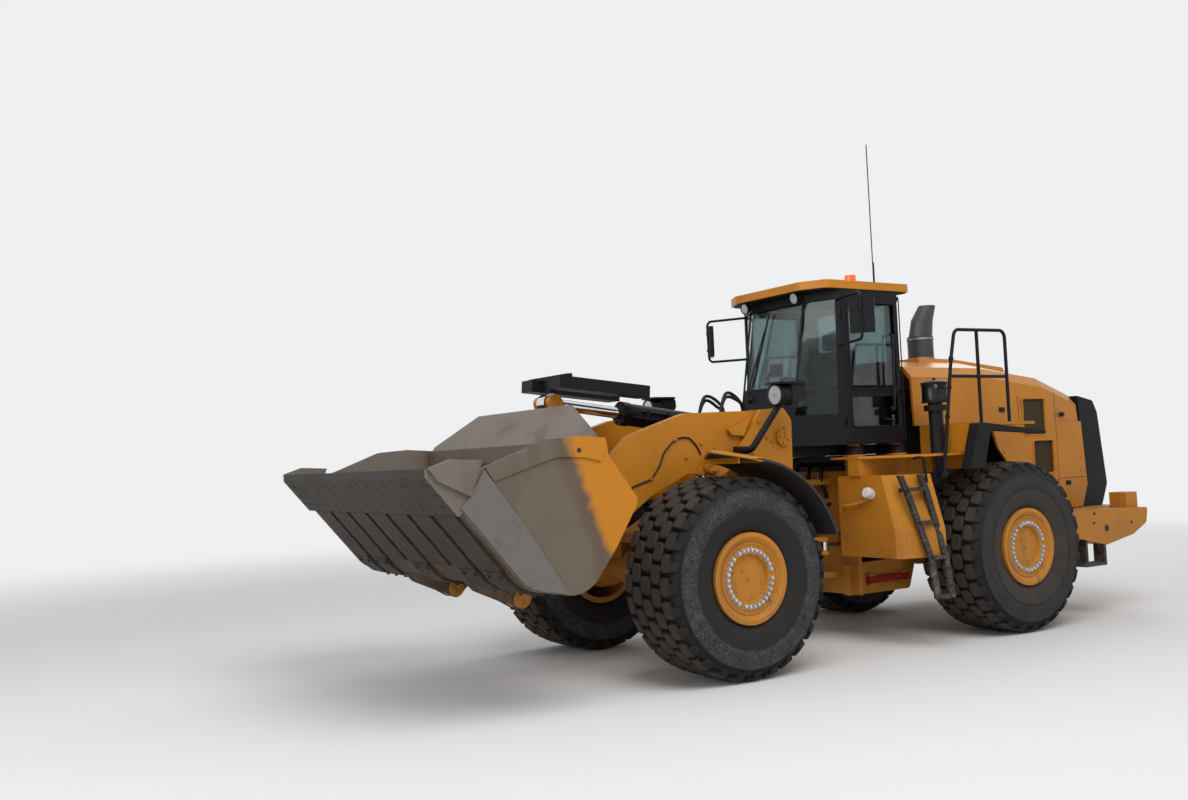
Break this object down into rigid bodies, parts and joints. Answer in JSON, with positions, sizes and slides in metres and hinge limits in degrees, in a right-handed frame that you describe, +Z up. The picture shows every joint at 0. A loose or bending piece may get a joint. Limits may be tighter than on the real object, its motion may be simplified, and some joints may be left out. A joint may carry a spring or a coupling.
{
  "type": "wheel loader",
  "caption": "Large articulated wheel loader with a racked-back bucket on curved lift arms, a glazed cab, an arched rear hood and block-lug tyres.",
  "frame": {"origin": "middle of the base of the whole machine's bounding box, on the ground between the wheels", "axes": "+X forward to the bucket, +Y to the machine's left, +Z up"},
  "size_m": [9.7254, 3.507, 5.45],
  "materials": {
    "loader_yellow": "semi-gloss construction yellow, dusty",
    "frame_black": "satin black, dusty",
    "tyre_rubber": "matt worn rubber with dried mud",
    "rod_chrome": "polished cylinder rod",
    "worn_steel": "scratched bare steel",
    "cab_plastic": "grained interior plastic",
    "window_glass": "tinted safety glass",
    "beacon_lens": "amber lens"
  },
  "bodies": {
    "rear_frame_body": {"rear_frame": "loader_yellow", "hitch_bulkhead": "loader_yellow", "rear_axle": "loader_yellow", "engine": "frame_black", "radiator": "frame_black", "transmission": "frame_black", "counterweight": "loader_yellow", "rear_grille": "frame_black", "cab_body": "frame_black", "cab_glass": "window_glass", "cab_roof": "loader_yellow", "seat": "cab_plastic", "controls": "cab_plastic", "side_tanks": "loader_yellow", "side_decks": "loader_yellow", "rear_fenders": "frame_black", "ladders": "frame_black", "handrails": "frame_black", "precleaner": "cab_plastic", "mirrors": "frame_black", "beacon": "beacon_lens", "antennas": "cab_plastic"},
    "front_frame_body": {"front_frame": "loader_yellow", "loader_towers": "loader_yellow", "steer_ears": "loader_yellow", "front_axle": "loader_yellow", "front_fenders": "frame_black", "head_lamps": "frame_black"},
    "hood_body": {"hood": "loader_yellow", "hood_screens": "worn_steel", "exhaust_stack": "worn_steel"},
    "cab_door_body": {"cab_door": "frame_black", "door_glass": "window_glass"},
    "lift_arms_body": {"lift_arms": "loader_yellow"},
    "bell_crank_body": {"bell_crank": "loader_yellow"},
    "tilt_link_body": {"tilt_link": "loader_yellow"},
    "bucket_body": {"bucket": "worn_steel", "cutting_edge": "worn_steel"},
    "left_lift_barrel_body": {"left_lift_barrel": "loader_yellow"},
    "left_lift_rod_body": {"left_lift_rod": "rod_chrome"},
    "right_lift_barrel_body": {"right_lift_barrel": "loader_yellow"},
    "right_lift_rod_body": {"right_lift_rod": "rod_chrome"},
    "tilt_barrel_body": {"tilt_barrel": "frame_black"},
    "tilt_rod_body": {"tilt_rod": "rod_chrome", "rod_guards": "frame_black"},
    "left_steer_barrel_body": {"left_steer_barrel": "loader_yellow"},
    "left_steer_rod_body": {"left_steer_rod": "rod_chrome"},
    "right_steer_barrel_body": {"right_steer_barrel": "loader_yellow"},
    "right_steer_rod_body": {"right_steer_rod": "rod_chrome"},
    "front_left_wheel": {"front_left_tyre": "tyre_rubber", "front_left_rim": "loader_yellow"},
    "front_right_wheel": {"front_right_tyre": "tyre_rubber", "front_right_rim": "loader_yellow"},
    "rear_left_wheel": {"rear_left_tyre": "tyre_rubber", "rear_left_rim": "loader_yellow"},
    "rear_right_wheel": {"rear_right_tyre": "tyre_rubber", "rear_right_rim": "loader_yellow"}
  },
  "joints": [
    {"name": "steer", "type": "hinge", "parent": "rear_frame_body", "child": "front_frame_body", "pos_m": [-0.16773, 0, 1.2], "axis": [0, 0, 1], "range_deg": [-37, 37]},
    {"name": "hood_lid", "type": "hinge", "parent": "rear_frame_body", "child": "hood_body", "pos_m": [-4.35973, 0, 2.626], "axis": [0, 1, 0], "range_deg": [-45, 0]},
    {"name": "door", "type": "hinge", "parent": "rear_frame_body", "child": "cab_door_body", "pos_m": [-0.30973, 0.797, 2.86], "axis": [0, 0, -1], "range_deg": [0, 85]},
    {"name": "lift", "type": "hinge", "parent": "front_frame_body", "child": "lift_arms_body", "pos_m": [0.57227, 0, 2.15], "axis": [0, 1, 0], "range_deg": [-69.06, 10.96]},
    {"name": "bucket_tilt", "type": "hinge", "parent": "lift_arms_body", "child": "bucket_body", "pos_m": [3.59027, 0, 0.85], "axis": [0, 1, 0], "range_deg": [0, 155]},
    {"name": "lever", "type": "hinge", "parent": "lift_arms_body", "child": "bell_crank_body", "pos_m": [2.46627, 0, 1.689], "axis": [0, 1, 0], "range_deg": [-35.1, 0.1]},
    {"name": "link", "type": "hinge", "parent": "bell_crank_body", "child": "tilt_link_body", "pos_m": [2.49527, 0, 0.907], "axis": [0, 1, 0], "range_deg": [-0.1, 47.5]},
    {"name": "tilt_barrel_swing", "type": "hinge", "parent": "front_frame_body", "child": "tilt_barrel_body", "pos_m": [0.68227, 0, 2.284], "axis": [0, 1, 0], "range_deg": [-76.5, 12.2]},
    {"name": "tilt_rod_slide", "type": "slide", "parent": "tilt_barrel_body", "child": "tilt_rod_body", "axis": [0.9914, 0, 0.1305], "range_m": [-0.53, 0.001]},
    {"name": "left_lift_swing", "type": "hinge", "parent": "front_frame_body", "child": "left_lift_barrel_body", "pos_m": [0.65227, 0.45, 0.69], "axis": [0, 1, 0], "range_deg": [-21.6, 3.5]},
    {"name": "left_lift_rod_slide", "type": "slide", "parent": "left_lift_barrel_body", "child": "left_lift_rod_body", "axis": [0.5531, 0, 0.8331], "range_m": [-0.126, 0.793]},
    {"name": "left_steer_swing", "type": "hinge", "parent": "rear_frame_body", "child": "left_steer_barrel_body", "pos_m": [-1.31773, 0.43, 1.01], "axis": [0, 0, 1], "range_deg": [-1, 1]},
    {"name": "left_steer_rod_slide", "type": "slide", "parent": "left_steer_barrel_body", "child": "left_steer_rod_body", "axis": [0.9991, 0.0434, 0], "range_m": [-0.29, 0.29]},
    {"name": "right_lift_swing", "type": "hinge", "parent": "front_frame_body", "child": "right_lift_barrel_body", "pos_m": [0.65227, -0.45, 0.69], "axis": [0, 1, 0], "range_deg": [-21.6, 3.5]},
    {"name": "right_lift_rod_slide", "type": "slide", "parent": "right_lift_barrel_body", "child": "right_lift_rod_body", "axis": [0.5531, 0, 0.8331], "range_m": [-0.126, 0.793]},
    {"name": "right_steer_swing", "type": "hinge", "parent": "rear_frame_body", "child": "right_steer_barrel_body", "pos_m": [-1.31773, -0.43, 1.01], "axis": [0, 0, 1], "range_deg": [-1, 1]},
    {"name": "right_steer_rod_slide", "type": "slide", "parent": "right_steer_barrel_body", "child": "right_steer_rod_body", "axis": [0.9991, -0.0434, 0], "range_m": [-0.29, 0.29]},
    {"name": "front_left_wheel_turn", "type": "hinge", "parent": "front_frame_body", "child": "front_left_wheel", "pos_m": [1.73227, 1.22, 0.905], "axis": [0, 1, 0], "continuous": true},
    {"name": "front_right_wheel_turn", "type": "hinge", "parent": "front_frame_body", "child": "front_right_wheel", "pos_m": [1.73227, -1.22, 0.905], "axis": [0, 1, 0], "continuous": true},
    {"name": "rear_left_wheel_turn", "type": "hinge", "parent": "rear_frame_body", "child": "rear_left_wheel", "pos_m": [-2.06773, 1.22, 0.905], "axis": [0, 1, 0], "continuous": true},
    {"name": "rear_right_wheel_turn", "type": "hinge", "parent": "rear_frame_body", "child": "rear_right_wheel", "pos_m": [-2.06773, -1.22, 0.905], "axis": [0, 1, 0], "continuous": true}
  ],
  "couplings": [
    {"joint": "lever", "follows": "bucket_tilt", "ratio": -0.225},
    {"joint": "link", "follows": "bucket_tilt", "ratio": 0.305},
    {"joint": "tilt_rod_slide", "follows": "bucket_tilt", "m_per_rad": -0.195},
    {"joint": "tilt_barrel_swing", "follows": "lift", "ratio": 1.1},
    {"joint": "left_lift_swing", "follows": "lift", "ratio": 0.312},
    {"joint": "left_lift_rod_slide", "follows": "lift", "m_per_rad": -0.657},
    {"joint": "left_steer_swing", "follows": "steer", "ratio": -0.017},
    {"joint": "left_steer_rod_slide", "follows": "steer", "m_per_rad": -0.447},
    {"joint": "right_lift_swing", "follows": "lift", "ratio": 0.312},
    {"joint": "right_lift_rod_slide", "follows": "lift", "m_per_rad": -0.657},
    {"joint": "right_steer_swing", "follows": "steer", "ratio": -0.017},
    {"joint": "right_steer_rod_slide", "follows": "steer", "m_per_rad": 0.447}
  ]
}
